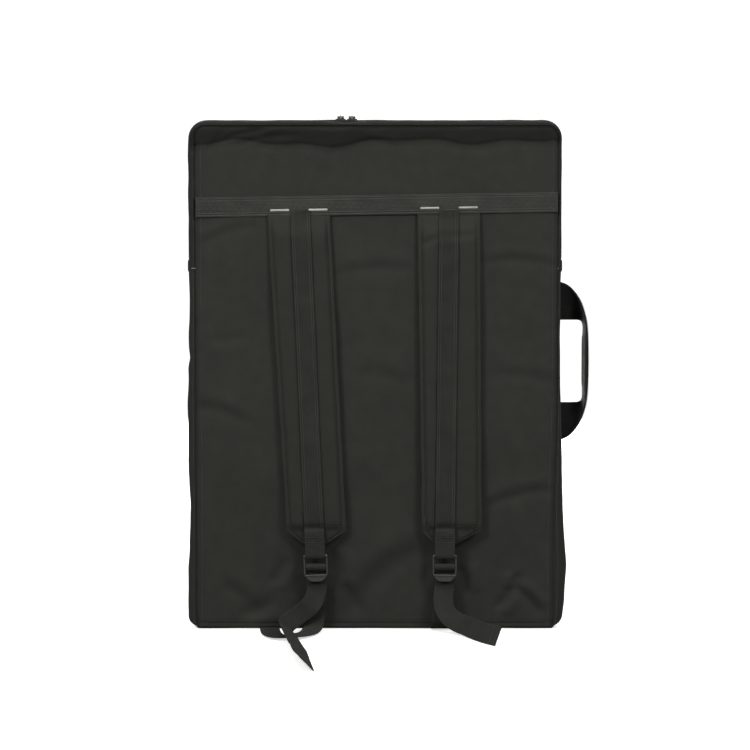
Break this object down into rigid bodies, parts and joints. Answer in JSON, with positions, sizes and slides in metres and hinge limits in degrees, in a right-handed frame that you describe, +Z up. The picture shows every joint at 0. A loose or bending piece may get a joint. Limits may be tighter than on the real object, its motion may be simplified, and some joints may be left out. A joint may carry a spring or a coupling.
{
  "type": "portfolio case",
  "caption": "Soft flat drawing-board case with a zip over its top, two padded backpack straps on webbing adjusters and a side carry handle.",
  "frame": {"origin": "middle of the bottom gusset's underside, on the surface that the case stands on", "axes": "+Z up the case, +X along its width with the back panel seen from -Y, +Y from the back panel with the straps to the front panel"},
  "size_m": [0.5155, 0.3308, 0.662],
  "materials": {
    "shell_fabric": "matte woven polyester, charcoal black",
    "strap_fabric": "matte woven polyester, charcoal black",
    "lining": "thin smooth lining",
    "foam": "closed-cell foam sheet, grey",
    "webbing": "ribbed polypropylene webbing, charcoal black",
    "handle_webbing": "wide ribbed webbing, black",
    "zip_tape": "fine twill tape",
    "zip_coil": "nylon coil, semi gloss",
    "slider_metal": "nickel plated, polished",
    "pale_thread": "dense pale stitching",
    "buckle_plastic": "moulded acetal, satin"
  },
  "bodies": {
    "case": {"back_panel": "shell_fabric", "back_panel_foam": "foam", "back_panel_lining": "lining", "front_panel_lower": "shell_fabric", "front_panel_lower_foam": "foam", "front_panel_lower_lining": "lining", "side_gusset_left": "shell_fabric", "side_gusset_right": "shell_fabric", "bottom_gusset": "shell_fabric", "zip_gusset_back": "shell_fabric", "zip_tape_back": "zip_tape", "zip_coil_back": "zip_coil", "zip_end_tab_left": "shell_fabric", "zip_end_tab_right": "shell_fabric", "strap_band": "webbing", "bar_tack_left_outer": "pale_thread", "bar_tack_left_inner": "pale_thread", "bar_tack_right_inner": "pale_thread", "bar_tack_right_outer": "pale_thread", "adjuster_webbing_left": "webbing", "adjuster_webbing_right": "webbing"},
    "front_flap": {"front_panel_upper": "shell_fabric", "front_panel_upper_foam": "foam", "front_panel_upper_lining": "lining", "zip_gusset_front": "shell_fabric", "zip_tape_front": "zip_tape", "zip_coil_front": "zip_coil"},
    "slider_left": {"slider_left": "slider_metal"},
    "slider_right": {"slider_right": "slider_metal"},
    "pull_left": {"pull_left": "slider_metal"},
    "pull_right": {"pull_right": "slider_metal"},
    "strap_left": {"strap_backing_left": "strap_fabric", "strap_foam_left": "foam", "strap_face_left": "strap_fabric", "strap_webbing_left": "webbing"},
    "strap_right": {"strap_backing_right": "strap_fabric", "strap_foam_right": "foam", "strap_face_right": "strap_fabric", "strap_webbing_right": "webbing"},
    "buckle_left": {"buckle_left": "buckle_plastic"},
    "buckle_right": {"buckle_right": "buckle_plastic"},
    "handle": {"handle_webbing": "handle_webbing", "handle_grip_pad": "handle_webbing"}
  },
  "joints": [
    {"name": "flap_fold", "type": "hinge", "parent": "case", "child": "front_flap", "pos_m": [0, 0.0225, 0.465], "axis": [-1, 0, 0], "range_deg": [0, 80], "deforming": ["zip_tape_front", "zip_coil_front", "zip_tape_back", "zip_coil_back"]},
    {"name": "slider_left_travel", "type": "slide", "parent": "front_flap", "child": "slider_left", "axis": [-1, 0, 0], "range_m": [0, 0.16]},
    {"name": "slider_right_travel", "type": "slide", "parent": "front_flap", "child": "slider_right", "axis": [1, 0, 0], "range_m": [0, 0.234]},
    {"name": "pull_left_swing", "type": "hinge", "parent": "slider_left", "child": "pull_left", "pos_m": [-0.044, 0, 0.6595], "axis": [1, 0, 0], "range_deg": [0, 210]},
    {"name": "pull_right_swing", "type": "hinge", "parent": "slider_right", "child": "pull_right", "pos_m": [-0.0295, 0, 0.6595], "axis": [1, 0, 0], "range_deg": [0, 210]},
    {"name": "strap_left_swing", "type": "hinge", "parent": "case", "child": "strap_left", "pos_m": [-0.0973, -0.025, 0.532], "axis": [-1, 0, 0], "range_deg": [0, 22], "deforming": ["adjuster_webbing_left"]},
    {"name": "strap_right_swing", "type": "hinge", "parent": "case", "child": "strap_right", "pos_m": [0.0942, -0.025, 0.532], "axis": [-1, 0, 0], "range_deg": [0, 12], "deforming": ["adjuster_webbing_right"]},
    {"name": "buckle_left_tilt", "type": "hinge", "parent": "strap_left", "child": "buckle_left", "pos_m": [-0.0764, -0.0401, 0.0972], "axis": [-1, 0, 0], "range_deg": [0, 22], "deforming": ["adjuster_webbing_left"]},
    {"name": "buckle_right_tilt", "type": "hinge", "parent": "strap_right", "child": "buckle_right", "pos_m": [0.0894, -0.0401, 0.0972], "axis": [-1, 0, 0], "range_deg": [0, 22], "deforming": ["adjuster_webbing_right"]},
    {"name": "handle_swing", "type": "hinge", "parent": "case", "child": "handle", "pos_m": [0.232, 0.0228, 0.345], "axis": [0, 0, 1], "range_deg": [-24, 80]}
  ]
}
